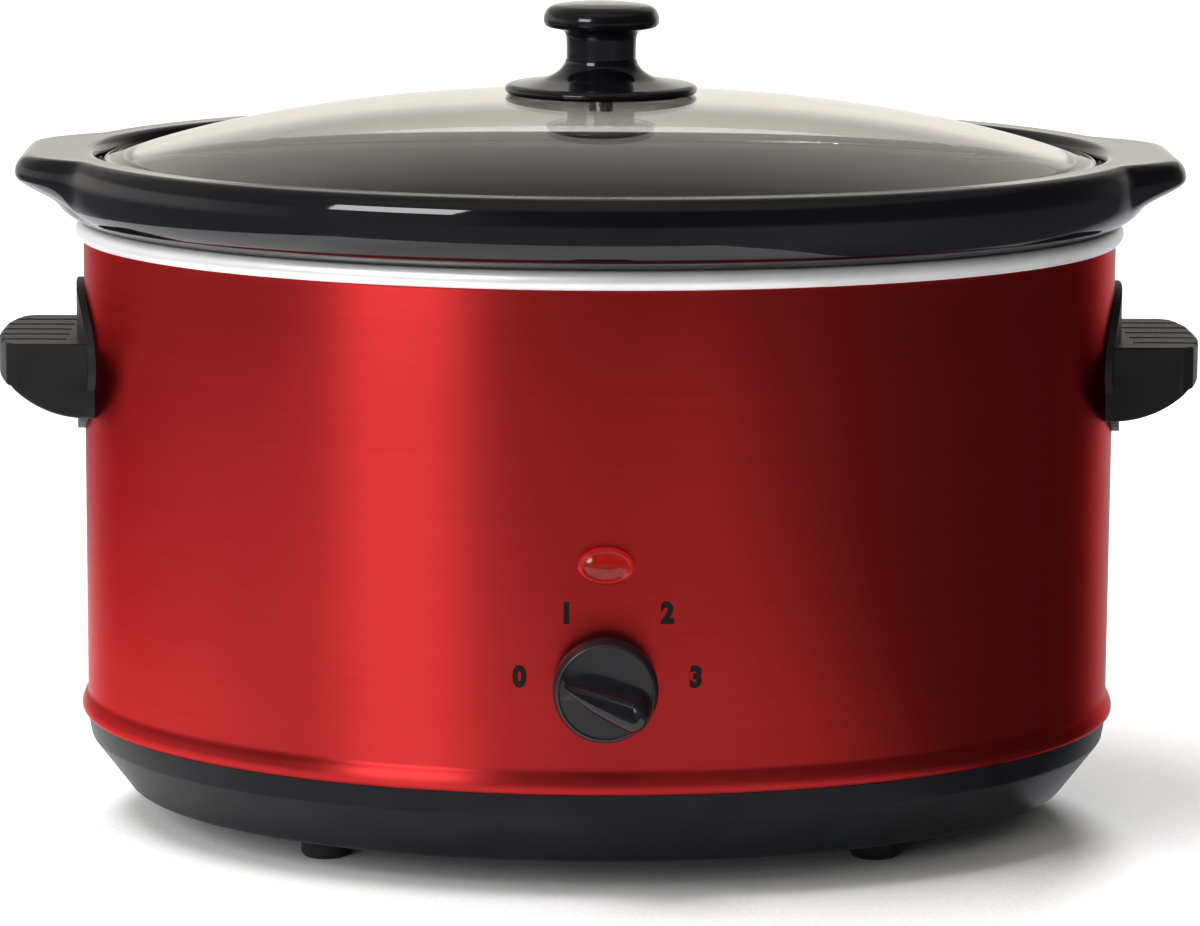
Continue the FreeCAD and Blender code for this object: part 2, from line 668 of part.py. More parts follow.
save("tie_stud", tie_stud())
save("tie_washer", tie_washer())
save("tie_nut", tie_nut())
save("heat_shield", heat_shield())
save("shield_sleeve", shield_sleeve())
save("shield_nut", shield_nut())

save("heating_band", heating_band())
save("band_tabs", [band_tab(-12), band_tab(12)])
save("band_clamp", band_clamp())
save("clamp_screw", clamp_screw())
save("thermal_fuse", thermal_fuse())
save("fuse_clip", fuse_clip())

save("rotary_switch", rotary_switch())
save("switch_nut", switch_nut())
save("switch_tabs", switch_tabs())
save("detent_spring", detent_spring())
save("switch_shaft", switch_shaft())
save("switch_rotor", switch_rotor())
save("control_knob", control_knob())

save("indicator_lens", indicator_lens())
save("lens_clip", lens_clip())
save("neon_lamp", neon_lamp())

save("terminal_block", terminal_block())
save("terminal_screws", [terminal_screw(x) for x in BLOCK_SCREW_X])
save("internal_leads", internal_leads())
save("cord_gland", cord_gland())
save("gland_lock_nut", gland_lock_nut())
save("gland_dome_nut", gland_dome_nut())

right_handle = handle_right()
right_backing = handle_backing_right()
right_screws = [handle_screw(y) for y in (-HANDLE_SCREW_Y, HANDLE_SCREW_Y)]
save("handle_right", right_handle)
save("handle_left", mirrored(right_handle))
save("handle_backing_right", right_backing)
save("handle_backing_left", mirrored(right_backing))
save("handle_screws", right_screws + [mirrored(screw) for screw in right_screws])

save("crock", crock())

save("lid_glass", lid_glass())
save("lid_knob_base", lid_knob_base())
save("lid_knob", lid_knob())
save("lid_gasket", lid_gasket())
save("lid_washer", lid_washer())
save("lid_screw", lid_screw())
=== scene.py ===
import json
import math

import bmesh
import bpy
from mathutils import Euler, Matrix, Quaternion, Vector


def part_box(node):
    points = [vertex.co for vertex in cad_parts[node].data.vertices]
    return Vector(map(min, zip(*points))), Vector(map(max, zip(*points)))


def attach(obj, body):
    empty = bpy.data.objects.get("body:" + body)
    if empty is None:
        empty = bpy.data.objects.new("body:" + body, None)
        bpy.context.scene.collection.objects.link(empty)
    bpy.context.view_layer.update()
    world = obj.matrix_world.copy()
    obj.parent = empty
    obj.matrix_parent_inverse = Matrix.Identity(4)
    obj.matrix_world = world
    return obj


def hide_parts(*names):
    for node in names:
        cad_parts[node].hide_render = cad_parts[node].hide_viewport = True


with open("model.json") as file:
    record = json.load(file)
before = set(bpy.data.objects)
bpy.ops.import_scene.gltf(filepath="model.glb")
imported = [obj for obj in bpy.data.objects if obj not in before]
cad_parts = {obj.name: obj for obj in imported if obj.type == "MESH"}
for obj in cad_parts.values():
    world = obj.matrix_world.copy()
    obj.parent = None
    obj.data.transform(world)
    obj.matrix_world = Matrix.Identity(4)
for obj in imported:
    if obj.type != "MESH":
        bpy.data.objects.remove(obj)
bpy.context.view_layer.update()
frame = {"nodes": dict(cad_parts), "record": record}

# Oval slow cooker with a red lacquered wrap, a black stoneware crock and a glass lid.
# Shapes are worked out in millimetres from the frame and turned into metres when a mesh is made.
MM = 0.001


def places(node):
    """Lowest and highest corner of a CAD node, in millimetres."""
    low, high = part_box(node)
    return low / MM, high / MM


# ---- driving dimensions, read from the frame ----
BEAD = 2.3                      # how far the wrap's rolled bead stands out from its wall
wrap_low, wrap_high = places("housing_wrap")
HALF_X = wrap_high.x - BEAD     # half length of the housing wall
HALF_Y = wrap_high.y - BEAD     # half depth of the housing wall
WRAP_BOTTOM = wrap_low.z
WRAP_TOP = wrap_high.z
RIM_TOP = places("liner_pot")[1].z
LINER_FLOOR = places("liner_pot")[0].z
CROCK_FOOT = places("crock")[0].z
CROCK_TOP = places("crock")[1].z
TAB_TIP = places("crock")[1].x
LEDGE = places("lid_glass")[0].z
LID_TOP = places("lid_glass")[1].z
LID_HALF_X = places("lid_glass")[1].x
LID_HALF_Y = places("lid_glass")[1].y
BASE_BOTTOM = places("base_pan")[0].z
GLAND_FACE = places("base_pan")[1].y
gland_low, gland_high = places("cord_gland")
GLAND_Z = (gland_low.z + gland_high.z) / 2
dial_low, dial_high = places("control_knob")
DIAL_Z = (dial_low.z + dial_high.z) / 2
lens_low, lens_high = places("indicator_lens")
LENS_Z = (lens_low.z + lens_high.z) / 2
HANDLE_Z = (places("handle_right")[0].z + places("handle_right")[1].z) / 2
HANDLE_SCREW_Y = 29.0

# ---- mesh resolution ----
END_STEP = 0.75                 # degrees between columns at the two ends of the oval
END_COUNT = 36
SIDE_STEP = 1.5                 # degrees between columns along its front and back
ROUND_COLUMNS = 96              # columns of a turned piece


def oval_angles():
    """Angles round the oval, closer together at its two ends, where the crock's tabs are."""
    reach = END_STEP * END_COUNT
    end = [END_STEP * k for k in range(-END_COUNT, END_COUNT + 1)]
    side_count = round((180 - 2 * reach) / SIDE_STEP)
    side = [reach + SIDE_STEP * k for k in range(1, side_count)]
    half_turn = end + side
    return [math.radians(a) for a in half_turn + [180 + a for a in half_turn]]


OVAL = oval_angles()
ROUND = [2 * math.pi * k / ROUND_COLUMNS for k in range(ROUND_COLUMNS)]


# ---- profiles ----
def corner(across, z, cut=None, tab=0.0):
    """One corner of a profile. cut is where its rounding starts, None for as far away as fits."""
    return (across, z, tab), cut


def between(a, b, share):
    return tuple(p + (q - p) * share for p, q in zip(a, b))


def rounded(corners, closed=False, steps=5):
    """Profile points with each corner turned into a smooth curve."""
    made = []
    for k, (here, cut) in enumerate(corners):
        if cut == 0 or (not closed and k in (0, len(corners) - 1)):
            made.append(here)
            continue
        before = corners[k - 1][0]
        after = corners[(k + 1) % len(corners)][0]
        run_in = math.dist(here[:2], before[:2])
        run_out = math.dist(here[:2], after[:2])
        reach = min(run_in / 2, run_out / 2, cut or run_in)
        start = between(here, before, reach / run_in)
        end = between(here, after, reach / run_out)
        for step in range(steps + 1):
            t = step / steps
            made.append(between(between(start, here, t), between(here, end, t), t))
    return [p for k, p in enumerate(made) if math.dist(p[:2], made[k - 1][:2]) > 0.01]


def oval_rings(profile):
    """Half axes, height and tab share of each ring of an oval profile given by offsets."""
    return [(HALF_X + offset, HALF_Y + offset, z, tab) for offset, z, tab in profile]


def turned_rings(profile):
    return [(radius, radius, z, tab) for radius, z, tab in profile]


# ---- meshes ----
def finish_mesh(piece, sharp=35.0):
    """Outward normals and smooth shading that keeps edges sharper than the given angle."""
    shape = bmesh.new()
    shape.from_mesh(piece.data)
    bmesh.ops.remove_doubles(shape, verts=shape.verts, dist=1e-6)
    bmesh.ops.dissolve_degenerate(shape, edges=shape.edges, dist=1e-7)
    bmesh.ops.recalc_face_normals(shape, faces=shape.faces)
    shape.to_mesh(piece.data)
    shape.free()
    piece.data.shade_smooth()
    piece.data.set_sharp_from_angle(angle=math.radians(sharp))
    return piece


def piece_from(name, points, faces):
    """New object from points in millimetres."""
    mesh = bpy.data.meshes.new(name)
    mesh.from_pydata([Vector(p) * MM for p in points], [], faces)
    piece = bpy.data.objects.new(name, mesh)
    bpy.context.scene.collection.objects.link(piece)
    return finish_mesh(piece)


def ring_piece(name, rings, angles, closed=False):
    """Surface swept through rings (half axis, half axis, z, tab share); open ends are capped."""
    points = []
    for half_x, half_y, z, tab in rings:
        for a in angles:
            x = half_x * math.cos(a)
            if tab:
                x += math.copysign(tab * tab_reach(a), x)
            points.append((x, half_y * math.sin(a), z))
    count = len(angles)
    faces = []
    for k in range(len(rings) if closed else len(rings) - 1):
        low = k * count
        high = ((k + 1) % len(rings)) * count
        for j in range(count):
            after = (j + 1) % count
            faces.append((low + j, low + after, high + after, high + j))
    if not closed:
        faces.append(tuple(reversed(range(count))))
        faces.append(tuple(range((len(rings) - 1) * count, len(rings) * count)))
    return piece_from(name, points, faces)


def prism(outline, start, end, axis):
    """Closed prism over an outline, for cutting. axis is the direction that it is drawn along."""
    def put(u, v, along):
        return {"x": (along, u, v), "y": (u, along, v), "z": (u, v, along)}[axis]

    count = len(outline)
    points = [put(u, v, start) for u, v in outline] + [put(u, v, end) for u, v in outline]
    faces = [(k, (k + 1) % count, count + (k + 1) % count, count + k) for k in range(count)]
    faces += [tuple(reversed(range(count))), tuple(range(count, 2 * count))]
    return piece_from("tool", points, faces)


def ellipse(half_u, half_v, u=0.0, v=0.0, count=48):
    turns = [2 * math.pi * k / count for k in range(count)]
    return [(u + half_u * math.cos(t), v + half_v * math.sin(t)) for t in turns]


def combine(piece, tool, operation="DIFFERENCE"):
    """Applies one boolean and removes the tool."""
    modifier = piece.modifiers.new("shape", "BOOLEAN")
    modifier.operation = operation
    modifier.solver = "EXACT"
    modifier.object = tool
    settled = bpy.data.meshes.new_from_object(piece.evaluated_get(bpy.context.evaluated_depsgraph_get()))
    piece.modifiers.clear()
    piece.data = settled
    bpy.data.objects.remove(tool)
    return finish_mesh(piece)


# ---- finishes ----
class Finish:
    """A procedural material on the Principled shader."""

    def __init__(self, name, **sockets):
        self.material = bpy.data.materials.new(name)
        self.material.use_nodes = True
        self.tree = self.material.node_tree
        self.shader = self.tree.nodes["Principled BSDF"]
        self.place = self.node("ShaderNodeTexCoord").outputs["Object"]
        for socket, value in sockets.items():
            self.shader.inputs[socket.replace("_", " ")].default_value = value

    def node(self, kind, **settings):
        made = self.tree.nodes.new(kind)
        for key, value in settings.items():
            setattr(made, key, value)
        return made

    def link(self, source, target):
        self.tree.links.new(source, target)

    def noise(self, size, detail=3.0, stretch=(1, 1, 1)):
        """Noise whose features are about `size` millimetres, longer along the stretched axes."""
        mapping = self.node("ShaderNodeMapping")
        mapping.inputs["Scale"].default_value = [1 / s for s in stretch]
        self.link(self.place, mapping.inputs["Vector"])
        made = self.node("ShaderNodeTexNoise")
        made.inputs["Scale"].default_value = 1 / (size * MM)
        made.inputs["Detail"].default_value = detail
        self.link(mapping.outputs["Vector"], made.inputs["Vector"])
        return made.outputs["Fac"]

    def span(self, value, low, high, start=0.3, end=0.7):
        made = self.node("ShaderNodeMapRange")
        for socket, number in (("From Min", start), ("From Max", end), ("To Min", low), ("To Max", high)):
            made.inputs[socket].default_value = number
        self.link(value, made.inputs["Value"])
        return made.outputs["Result"]

    def tint(self, value, dark, light, start=0.3, end=0.7):
        ramp = self.node("ShaderNodeValToRGB")
        ramp.color_ramp.elements[0].position = start
        ramp.color_ramp.elements[0].color = (*dark, 1)
        ramp.color_ramp.elements[1].position = end
        ramp.color_ramp.elements[1].color = (*light, 1)
        self.link(value, ramp.inputs["Fac"])
        return ramp.outputs["Color"]

    def edges(self, colour, worn, strength=0.5):
        """Mixes the worn colour in where the surface bends sharply outwards."""
        geometry = self.node("ShaderNodeNewGeometry")
        mask = self.span(geometry.outputs["Pointiness"], 0.0, strength, 0.52, 0.62)
        mix = self.node("ShaderNodeMix", data_type="RGBA")
        self.link(mask, mix.inputs["Factor"])
        self.link(colour, mix.inputs["A"])
        mix.inputs["B"].default_value = (*worn, 1)
        return mix.outputs["Result"]

    def bump(self, height, distance, under=None):
        """Adds relief of the given depth in millimetres."""
        made = self.node("ShaderNodeBump")
        made.inputs["Distance"].default_value = distance * MM
        self.link(height, made.inputs["Height"])
        if under:
            self.link(under, made.inputs["Normal"])
        return made.outputs["Normal"]

    def drive(self, socket, source):
        self.link(source, self.shader.inputs[socket])


def red_lacquer():
    """Red lacquer over steel that is brushed round the housing."""
    f = Finish("red_lacquered_steel", Metallic=1.0, Anisotropic=0.92, Anisotropic_Rotation=0.25,
               Coat_Weight=0.03, Coat_Roughness=0.16, Specular_Tint=(0.80, 0.45, 0.46, 1))
    brushing = f.noise(0.35, 4, (160, 160, 1))
    streaks = f.noise(2.5, 3, (60, 60, 1))
    cloud = f.noise(60, 2)
    colour = f.tint(streaks, (0.53, 0.028, 0.029), (0.56, 0.031, 0.033))
    f.drive("Base Color", f.edges(colour, (0.75, 0.05, 0.05), 0.3))
    f.drive("Roughness", f.span(cloud, 0.355, 0.405))
    f.drive("Normal", f.bump(brushing, 0.0015))
    tangent = f.node("ShaderNodeTangent", direction_type="RADIAL", axis="Z")
    f.drive("Tangent", tangent.outputs["Tangent"])
    return f.material


def bright_aluminium():
    """Satin spun aluminium of the well and its rolled rim."""
    f = Finish("liner_aluminium", Metallic=0.55)
    spun = f.noise(0.6, 4, (80, 80, 1))
    cloud = f.noise(25, 3)
    f.drive("Base Color", f.tint(cloud, (0.84, 0.84, 0.85), (0.92, 0.92, 0.93)))
    f.drive("Roughness", f.span(spun, 0.34, 0.46))
    f.drive("Normal", f.bump(spun, 0.008))
    return f.material


def moulded(name, dark, light, rough, grain=0.5, relief=0.03, gloss=0.5):
    """Moulded black plastic: fine spark-eroded grain, faint flow marks and paler worn edges."""
    f = Finish(name, Specular_IOR_Level=gloss)
    fine = f.noise(grain, 3)
    flow = f.noise(18, 2)
    worn = tuple(min(1.0, 2.2 * c + 0.01) for c in light)
    f.drive("Base Color", f.edges(f.tint(flow, dark, light), worn, 0.35))
    f.drive("Roughness", f.span(fine, rough - 0.06, rough + 0.06))
    f.drive("Normal", f.bump(fine, relief))
    return f.material


def black_glaze():
    """Glossy black stoneware glaze with a slow ripple and tiny pinholes."""
    f = Finish("crock_ceramic", IOR=1.58)
    ripple = f.noise(38, 1)
    speck = f.noise(0.9, 2)
    colour = f.tint(speck, (0.002, 0.002, 0.003), (0.004, 0.004, 0.006))
    f.drive("Base Color", f.edges(colour, (0.020, 0.016, 0.012), 0.3))
    f.drive("Roughness", f.span(speck, 0.03, 0.06))
    f.drive("Normal", f.bump(speck, 0.002, f.bump(ripple, 0.05)))
    return f.material


def clear_glass():
    """Toughened soda-lime glass with faint draw lines."""
    f = Finish("lid_glass", Transmission_Weight=1.0, IOR=1.5)
    film = f.noise(55, 3)
    wave = f.noise(45, 1)
    f.drive("Base Color", f.tint(film, (0.935, 0.93, 0.905), (0.955, 0.95, 0.93)))
    f.drive("Roughness", f.span(film, 0.0, 0.004))
    f.drive("Normal", f.bump(wave, 0.006))
    return f.material


def gloss_plastic(name):
    """Polished black phenolic with a fine haze and paler edges."""
    f = Finish(name, IOR=1.5)
    haze = f.noise(7, 3)
    speck = f.noise(0.6, 2)
    colour = f.tint(haze, (0.003, 0.003, 0.004), (0.006, 0.006, 0.008))
    f.drive("Base Color", f.edges(colour, (0.03, 0.03, 0.03), 0.4))
    f.drive("Roughness", f.span(haze, 0.07, 0.13))
    f.drive("Normal", f.bump(speck, 0.004))
    return f.material


def dial_plastic():
    """Control knob: satin face, with the wing in front of it polished."""
    f = Finish("dial_plastic", IOR=1.5)
    haze = f.noise(7, 3)
    speck = f.noise(0.6, 2)
    colour = f.tint(haze, (0.007, 0.007, 0.009), (0.011, 0.011, 0.013))
    f.drive("Base Color", f.edges(colour, (0.05, 0.05, 0.05), 0.5))
    split = f.node("ShaderNodeSeparateXYZ")
    f.link(f.place, split.inputs["Vector"])
    wing_start = (dial_low.y + 9.2) * MM
    satin = f.span(split.outputs["Y"], 0.10, 0.36, wing_start, wing_start + 0.8 * MM)
    f.drive("Roughness", satin)
    f.drive("Normal", f.bump(speck, 0.004))
    return f.material


def red_lens():
    """Clear red moulded lens with a faint inner haze."""
    f = Finish("lens_plastic", Transmission_Weight=0.85, IOR=1.49)
    haze = f.noise(3, 2)
    f.drive("Base Color", f.tint(haze, (0.85, 0.02, 0.015), (0.95, 0.05, 0.03)))
    f.drive("Roughness", f.span(haze, 0.03, 0.09))
    f.drive("Normal", f.bump(haze, 0.03))
    return f.material


def metal(name, dark, light, rough=0.3, size=0.5, stretch=(1, 1, 12)):
    """Machined or pressed metal with drawing lines."""
    f = Finish(name, Metallic=1.0)
    lines = f.noise(size, 4, stretch)
    stain = f.noise(9, 3)
    worn = tuple(min(1.0, c + 0.15) for c in light)
    f.drive("Base Color", f.edges(f.tint(stain, dark, light), worn, 0.5))
    f.drive("Roughness", f.span(lines, rough - 0.07, rough + 0.09))
    f.drive("Normal", f.bump(lines, 0.012))
    return f.material


def plain(name, dark, light, rough, size=1.2, relief=0.05, **sockets):
    """Rubber, mica, silicone and small inner mouldings: mottled and slightly rough."""
    f = Finish(name, **sockets)
    mottle = f.noise(size * 6, 3)
    fine = f.noise(size, 4)
    f.drive("Base Color", f.tint(mottle, dark, light))
    f.drive("Roughness", f.span(fine, rough - 0.08, rough + 0.08))
    f.drive("Normal", f.bump(fine, relief))
    return f.material


def label_ink():
    """Black screen-printed ink, a little uneven."""
    f = Finish("label_ink", Specular_IOR_Level=0.15)
    patch = f.noise(1.5, 3)
    f.drive("Base Color", f.tint(patch, (0.004, 0.004, 0.003), (0.009, 0.009, 0.008)))
    f.drive("Roughness", f.span(patch, 0.42, 0.58))
    f.drive("Normal", f.bump(patch, 0.01))
    return f.material


FINISHES = {
    "red_lacquered_steel": red_lacquer(),
    "liner_aluminium": bright_aluminium(),
    "base_plastic": moulded("base_plastic", (0.004, 0.004, 0.006), (0.007, 0.008, 0.010), 0.40,
                            grain=0.8, relief=0.05, gloss=0.16),
    "handle_plastic": moulded("handle_plastic", (0.005, 0.005, 0.006), (0.009, 0.009, 0.010), 0.46,
                              grain=0.7, relief=0.04, gloss=0.3),
    "knob_plastic": gloss_plastic("knob_plastic"),
    "dial_plastic": dial_plastic(),
    "crock_ceramic": black_glaze(),
    "lid_glass": clear_glass(),
    "lens_plastic": red_lens(),
    "cover_steel": metal("cover_steel", (0.42, 0.42, 0.43), (0.56, 0.56, 0.57), 0.38),
    "screw_steel": metal("screw_steel", (0.46, 0.46, 0.45), (0.62, 0.61, 0.60), 0.28),
    "shield_aluminium": metal("shield_aluminium", (0.66, 0.67, 0.68), (0.80, 0.80, 0.81), 0.32,
                              size=0.8, stretch=(30, 1, 1)),
    "tab_brass": metal("tab_brass", (0.62, 0.44, 0.17), (0.76, 0.58, 0.27), 0.30),
    "fuse_metal": metal("fuse_metal", (0.55, 0.54, 0.50), (0.70, 0.69, 0.66), 0.26),
    "band_mica": plain("band_mica", (0.30, 0.25, 0.17), (0.46, 0.40, 0.29), 0.45, 0.8),
    "foot_rubber": plain("foot_rubber", (0.008, 0.008, 0.008), (0.016, 0.016, 0.016), 0.75, 0.6),
    "gasket_silicone": plain("gasket_silicone", (0.30, 0.30, 0.29), (0.42, 0.42, 0.41), 0.55, 0.6),
    "lead_silicone": plain("lead_silicone", (0.55, 0.53, 0.48), (0.70, 0.68, 0.63), 0.5, 0.5),
    "switch_plastic": plain("switch_plastic", (0.015, 0.015, 0.016), (0.03, 0.03, 0.032), 0.45, 0.5),
    "rotor_plastic": plain("rotor_plastic", (0.62, 0.60, 0.54), (0.76, 0.74, 0.68), 0.4, 0.5),
    "block_plastic": plain("block_plastic", (0.55, 0.53, 0.47), (0.70, 0.68, 0.61), 0.45, 0.6),
    "gland_plastic": moulded("gland_plastic", (0.013, 0.013, 0.014), (0.022, 0.022, 0.024), 0.4,
                             grain=0.4, relief=0.02),
    "lamp_glass": plain("lamp_glass", (0.85, 0.30, 0.16), (0.95, 0.42, 0.25), 0.12,
                        size=1.0, relief=0.01, Transmission_Weight=0.6),
    "label_ink": label_ink(),
}


def dress(piece, slot, finish=None):
    """Gives a piece its finish, which is the slot's own unless another is named."""
    piece.data.materials.clear()
    piece.data.materials.append(FINISHES[finish or slot])
    return piece


def stand_for(piece, node, slot, finish=None):
    """Puts a detailed piece in a CAD node's place, riding on the same body."""
    dress(piece, slot, finish)
    body = next(name for name, nodes in frame["record"]["behaviour"]["bodies"].items() if node in nodes)
    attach(piece, body)
    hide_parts(node)
    return piece


# ---- crock ----
TAB_HALF_TIP = 20.0             # half width of the tab's straight outer edge
TAB_SHOULDER = (198.0, 47.0)    # where the tab runs into the oval
TAB_POWER = 2.6                 # power of the curve from that edge to the oval
TAB_BLEND = 3.0                 # softness of the join between tab and oval
RIM_REACH = 11.0                # widest offset of the crock's rim


def tab_reach(angle):
    """How far the crock's end tab stands out from the rim at this angle."""
    across = abs((HALF_Y + RIM_REACH) * math.sin(angle))
    share = max(0.0, across - TAB_HALF_TIP) / (TAB_SHOULDER[1] - TAB_HALF_TIP)
    outline = TAB_TIP - (TAB_TIP - TAB_SHOULDER[0]) * share ** TAB_POWER
    gain = outline - (HALF_X + RIM_REACH) * abs(math.cos(angle))
    return (gain + math.sqrt(gain * gain + TAB_BLEND * TAB_BLEND)) / 2


def make_crock():
    """Crock from the middle of its underside, out over the rim and down to the middle of its floor."""
    top = CROCK_TOP
    foot = CROCK_FOOT
    profile = rounded([
        corner(-60, foot + 0.6), corner(-53, foot + 0.6, 1), corner(-51, foot, 1), corner(-45, foot + 2.5),
        corner(-39, foot + 11), corner(-34, foot + 49), corner(-30, foot + 119),
        corner(-29, RIM_TOP + 0.3, 3), corner(1, RIM_TOP + 0.2, 1.2), corner(7.4, RIM_TOP + 3.6),
        corner(10.7, top - 16.4, tab=0.06),
        corner(RIM_REACH, top - 11.4, tab=0.70), corner(RIM_REACH, top - 8.6, tab=0.97),
        corner(10.6, top - 5.2, tab=1.0), corner(9.6, top - 2.7, tab=1.0), corner(8.0, top - 0.7, 1.8, 0.98),
        corner(6.0, top, 2, 0.92), corner(1.5, top - 0.2, 2, 0.35),
        corner(-3.4, top - 0.2, 1.6, 0.0), corner(-5.2, top - 3.4, 1.2), corner(-5.4, LEDGE, 1.2),
        corner(-19.5, LEDGE, 3), corner(-28, LEDGE - 6), corner(-34.6, top - 25), corner(-37, top - 60),
        corner(-41, top - 130), corner(-44.5, top - 168), corner(-50, top - 177.5),
        corner(-64, top - 180.5, 8), corner(-90, top - 180.5),
    ])
    return ring_piece("stoneware_crock", oval_rings(profile), OVAL)


# ---- housing ----
# heights above and below the wall's holes, to keep it smooth there
HOLE_LEVELS = (64, 90, 114, 127, 168, 177)
SHAFT_HOLE = 5.1                # radius of the hole for the switch's bush
LENS_HOLE = (8.2, 4.95)         # half width and half height of the lens's hole
SCREW_HOLE = 2.2                # radius of the holes for the handle screws


def make_wrap():
    """Housing wall with its rolled bead, and the holes in it."""
    low = WRAP_BOTTOM
    skin = 0.8
    bead = [(0.6, 0.0), (2.1, 1.2), (2.3, 3.4), (1.2, 6.4), (0.0, 8.1)]
    outside = [corner(offset, low + z) for offset, z in bead] + [corner(0, z, 0) for z in HOLE_LEVELS]
    inside = [corner(offset - skin, low + z) for offset, z in bead]
    inside += [corner(-skin, z, 0) for z in HOLE_LEVELS]
    lip = [corner(0, WRAP_TOP, 0.2), corner(-skin, WRAP_TOP, 0.2)]
    wrap = ring_piece("wrap_shell", oval_rings(rounded(outside + lip + inside[::-1], True)), OVAL, True)
    front = (-HALF_Y - 20, -HALF_Y + 20)
    combine(wrap, prism(ellipse(SHAFT_HOLE, SHAFT_HOLE, 0, DIAL_Z), *front, "y"))
    combine(wrap, prism(ellipse(*LENS_HOLE, 0, LENS_Z), *front, "y"))
    for y in (-HANDLE_SCREW_Y, HANDLE_SCREW_Y):
        hole = ellipse(SCREW_HOLE, SCREW_HOLE, y, HANDLE_Z, 24)
        combine(wrap, prism(hole, -HALF_X - 20, HALF_X + 20, "x"))
    return wrap


def make_liner():
    """Heating well with its rolled rim."""
    floor = LINER_FLOOR
    top = RIM_TOP
    profile = rounded([
        corner(-80, floor), corner(-38, floor), corner(-30, floor + 2.5), corner(-25.5, floor + 7),
        corner(-24, floor + 14), corner(-24, top - 1.2, 1), corner(-2.4, top - 1.2, 1),
        corner(-1.8, WRAP_TOP + 0.1, 0.4), corner(1.4, WRAP_TOP + 0.1, 0.6), corner(2.9, WRAP_TOP + 2.4),
        corner(2.7, top - 2.2), corner(0.8, top - 0.1), corner(-6, top, 3), corner(-25, top, 2),
        corner(-25, floor + 15), corner(-26.5, floor + 8), corner(-31, floor + 3.5), corner(-39, floor + 1),
        corner(-80, floor + 1),
    ])
    return ring_piece("liner_well", oval_rings(profile), OVAL)


PAD_DEPTH = 16.8                # how far the gland's pad reaches into the skirt
PAD_WALL = 4.0                  # thickness of the pad's flat wall
GLAND_HOLE = 7.05               # radius of the hole for the gland


def pad_outline(half_x, below, above):
    """Rectangle round the gland's axis."""
    low = GLAND_Z - below
    high = GLAND_Z + above
    return [(-half_x, low), (half_x, low), (half_x, high), (-half_x, high)]


def make_base():
    """Base pan's shell, with the flat pad at the back that carries the cord gland."""
    low = BASE_BOTTOM
    top = WRAP_BOTTOM
    wall = rounded([
        corner(-62, low + 3, 0.3), corner(-62, low + 1.2, 0.3),
        corner(-55.7, low + 1.2, 0), corner(-55.7, low, 0.3),
        corner(-21, low, 2), corner(-16, low + 1.2, 2), corner(-1.2, low + 20.9, 0.7), corner(0.3, top, 0.4),
        corner(-2.7, top, 0.4), corner(-4, low + 22.5, 1), corner(-19.5, low + 3, 2),
    ], True)
    base = ring_piece("base_shell", oval_rings(wall), OVAL, True)
    pad = prism(pad_outline(14, 12, 12), GLAND_FACE - PAD_DEPTH, GLAND_FACE, "y")
    soften(pad, 1.2)
    combine(base, pad, "UNION")
    combine(base, prism(pad_outline(11, 10.5, 9.5), 100, GLAND_FACE - PAD_WALL, "y"))
    combine(base, prism(ellipse(GLAND_HOLE, GLAND_HOLE, 0, GLAND_Z), 130, 160, "y"))
    return base


def soften(piece, width, segments=3, angle=40):
    """Rounds a mesh's own sharp edges."""
    modifier = piece.modifiers.new("edges", "BEVEL")
    modifier.width = width * MM
    modifier.segments = segments
    modifier.limit_method = "ANGLE"
    modifier.angle_limit = math.radians(angle)
    settled = bpy.data.meshes.new_from_object(piece.evaluated_get(bpy.context.evaluated_depsgraph_get()))
    piece.modifiers.clear()
    piece.data = settled
    return finish_mesh(piece)


# ---- lid ----
CROWN = 2.35                    # power of the dome's drop from its centre to its edge
GLASS = 4.0                     # thickness of the glass
EDGE_Z = 245.6                  # height at which the dome's curve would meet its edge
KNOB_HOLE = 3.2                 # radius of the hole for the lid screw
DOME_STEPS = 34                 # steps from the dome's first ring to its last
FIRST_RING = 0.04               # place of the dome's first and last rings, from its centre to its edge
LAST_RING = 0.99
LAST_INNER_RING = 0.955


def dome_height(share, top):
    """Height of the dome at a share of the way from its centre to its edge."""
    return top - (LID_TOP - EDGE_Z) * share ** CROWN


def make_dome():
    """Glass dome with its rounded edge, as one closed wall round the screw hole."""
    def ring(share, top):
        return (LID_HALF_X * share, LID_HALF_Y * share, dome_height(share, top), 0)

    def edge_ring(inset, z):
        return (LID_HALF_X - inset, LID_HALF_Y - inset, z, 0)

    step = (LAST_RING - FIRST_RING) / DOME_STEPS
    shares = [FIRST_RING + step * k for k in range(DOME_STEPS + 1)]
    outer = [(KNOB_HOLE, KNOB_HOLE, LID_TOP, 0)] + [ring(share, LID_TOP) for share in shares]
    edge = [edge_ring(inset, z) for inset, z, _ in rounded([
        corner(1.0, EDGE_Z + 0.7), corner(0.0, EDGE_Z - 0.4), corner(0.1, LEDGE + 0.2),
        corner(4.0, LEDGE + 0.2), corner(7.6, LEDGE + 2.1),
    ])]
    inner_shares = [share * LAST_INNER_RING / LAST_RING for share in shares]
    inner = [ring(share, LID_TOP - GLASS) for share in reversed(inner_shares)]
    inner.append((KNOB_HOLE, KNOB_HOLE, LID_TOP - GLASS, 0))
    return ring_piece("glass_dome", outer + edge + inner, OVAL, True)


